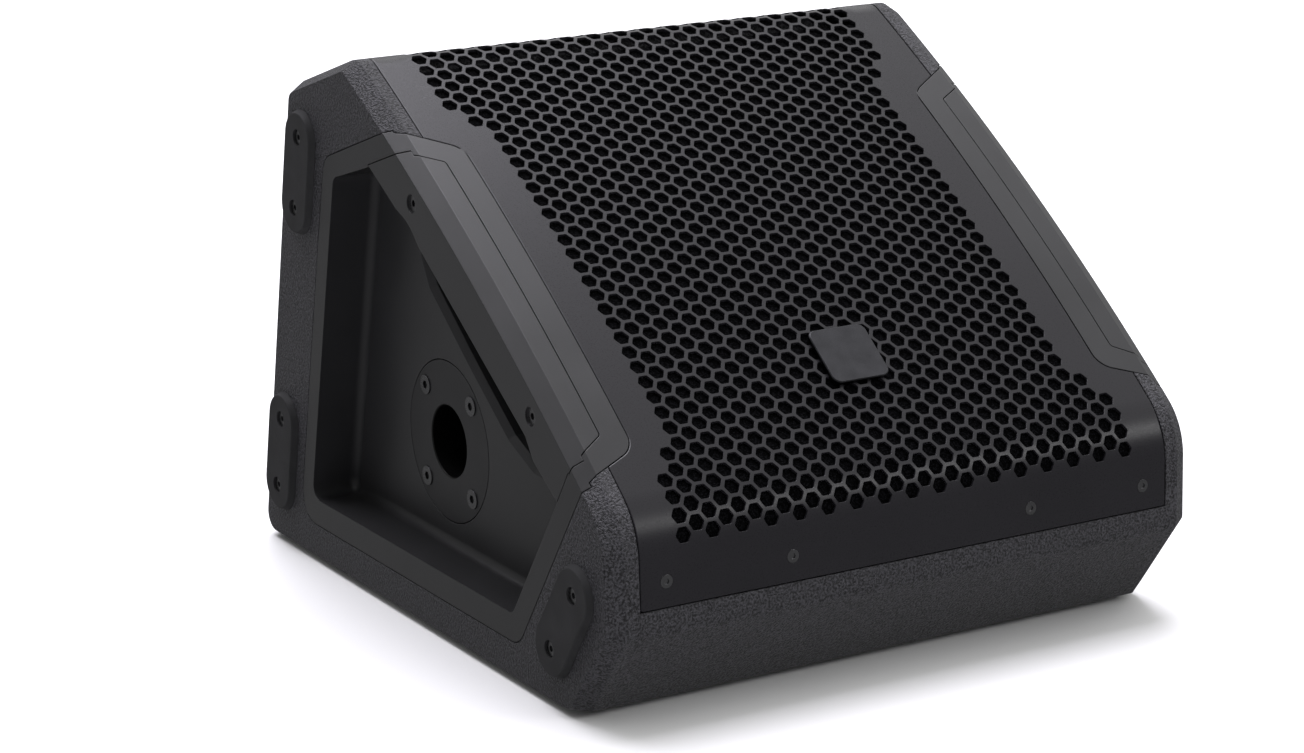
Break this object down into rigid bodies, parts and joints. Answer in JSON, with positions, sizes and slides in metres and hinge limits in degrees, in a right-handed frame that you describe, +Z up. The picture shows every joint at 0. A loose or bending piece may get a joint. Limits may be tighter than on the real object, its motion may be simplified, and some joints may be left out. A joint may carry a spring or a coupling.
{
  "type": "stage monitor wedge",
  "caption": "Wedge-shaped coaxial floor monitor with bent perforated grille, recessed moulded side handles, pole socket and rubber bumper feet.",
  "frame": {"origin": "on the floor under the middle of the cabinet", "axes": "-Y is the front, +Y the rear, +X the side with the connections, +Z up"},
  "size_m": [0.335, 0.3656, 0.2699],
  "materials": {
    "circuit_board": "green solder mask",
    "badge_metal": "dark brushed",
    "painted_wood": "black textured paint over birch plywood",
    "rubber": "matt black",
    "zinc_steel": "zinc plated",
    "cast_basket": "black cast",
    "panel_metal": "fine texture black",
    "lead_jacket": "flexible jacket",
    "black_steel": "black oxide",
    "grille_metal": "satin dark grey powder coat",
    "foam": "open black foam",
    "handle_plastic": "fine moulded grain",
    "heatsink_metal": "extruded",
    "knob_plastic": "satin",
    "socket_plastic": "smooth moulded",
    "frame_plastic": "fine moulded grain",
    "light_lens": "tinted lens",
    "cone_paper": "pressed paper",
    "ferrite": "dull grey",
    "surround_rubber": "smooth",
    "copper": "wound wire"
  },
  "bodies": {
    "cabinet": {"amplifier_board": "circuit_board", "badge": "badge_metal", "baffle": "painted_wood", "base_foot_1": "rubber", "base_foot_2": "rubber", "base_foot_3": "rubber", "base_foot_4": "rubber", "base_panel": "painted_wood", "board_standoffs": "zinc_steel", "bumper_foot_left_bottom_rear": "rubber", "bumper_foot_left_front": "rubber", "bumper_foot_left_top_rear": "rubber", "bumper_foot_right_bottom_rear": "rubber", "bumper_foot_right_front": "rubber", "bumper_foot_right_top_rear": "rubber", "compression_driver": "cast_basket", "connection_panel": "panel_metal", "driver_lead": "lead_jacket", "foot_screws": "black_steel", "front_rail": "painted_wood", "grille": "grille_metal", "grille_foam": "foam", "grille_screws": "black_steel", "handle_left": "handle_plastic", "handle_right": "handle_plastic", "handle_screws": "black_steel", "heatsink": "heatsink_metal", "horn": "knob_plastic", "input_socket": "socket_plastic", "level_potentiometer": "zinc_steel", "link_socket": "socket_plastic", "mains_inlet": "socket_plastic", "panel_screws": "black_steel", "pole_socket": "socket_plastic", "pole_socket_screws": "black_steel", "port_tube_left": "socket_plastic", "port_tube_right": "socket_plastic", "power_supply_board": "circuit_board", "rear_panel": "painted_wood", "side_frame_left": "frame_plastic", "side_frame_right": "frame_plastic", "side_panel_left": "painted_wood", "side_panel_right": "painted_wood", "status_lights": "light_lens", "switch_housing": "socket_plastic", "top_panel": "painted_wood", "woofer_basket": "cast_basket", "woofer_gasket": "rubber", "woofer_magnet": "ferrite", "woofer_screws": "black_steel", "woofer_spider": "cone_paper", "woofer_surround": "surround_rubber", "woofer_top_plate": "zinc_steel", "woofer_yoke": "zinc_steel"},
    "woofer_diaphragm": {"woofer_cone": "cone_paper", "woofer_voice_coil": "copper"},
    "knob": {"level_knob": "knob_plastic"},
    "button": {"preset_button": "knob_plastic"},
    "rocker": {"power_switch": "knob_plastic"},
    "latch": {"input_latch": "knob_plastic"}
  },
  "joints": [
    {"name": "diaphragm_stroke", "type": "slide", "parent": "cabinet", "child": "woofer_diaphragm", "axis": [0, -0.5568, 0.8306], "range_m": [-0.004, 0.004], "stiffness_N_per_m": 2500, "deforming": ["woofer_surround", "woofer_spider"]},
    {"name": "level_turn", "type": "hinge", "parent": "cabinet", "child": "knob", "pos_m": [0.1455, -0.02, 0.095], "axis": [1, 0, 0], "range_deg": [-150, 150]},
    {"name": "preset_press", "type": "slide", "parent": "cabinet", "child": "button", "axis": [-1, 0, 0], "range_m": [0, 0.0015], "stiffness_N_per_m": 400, "springref_m": -0.0008},
    {"name": "power_rock", "type": "hinge", "parent": "cabinet", "child": "rocker", "pos_m": [0.138, 0.072, 0.095], "axis": [0, 0, 1], "range_deg": [0, 14]},
    {"name": "latch_press", "type": "slide", "parent": "cabinet", "child": "latch", "axis": [-1, 0, 0], "range_m": [0, 0.0014], "stiffness_N_per_m": 400, "springref_m": -0.0008}
  ]
}
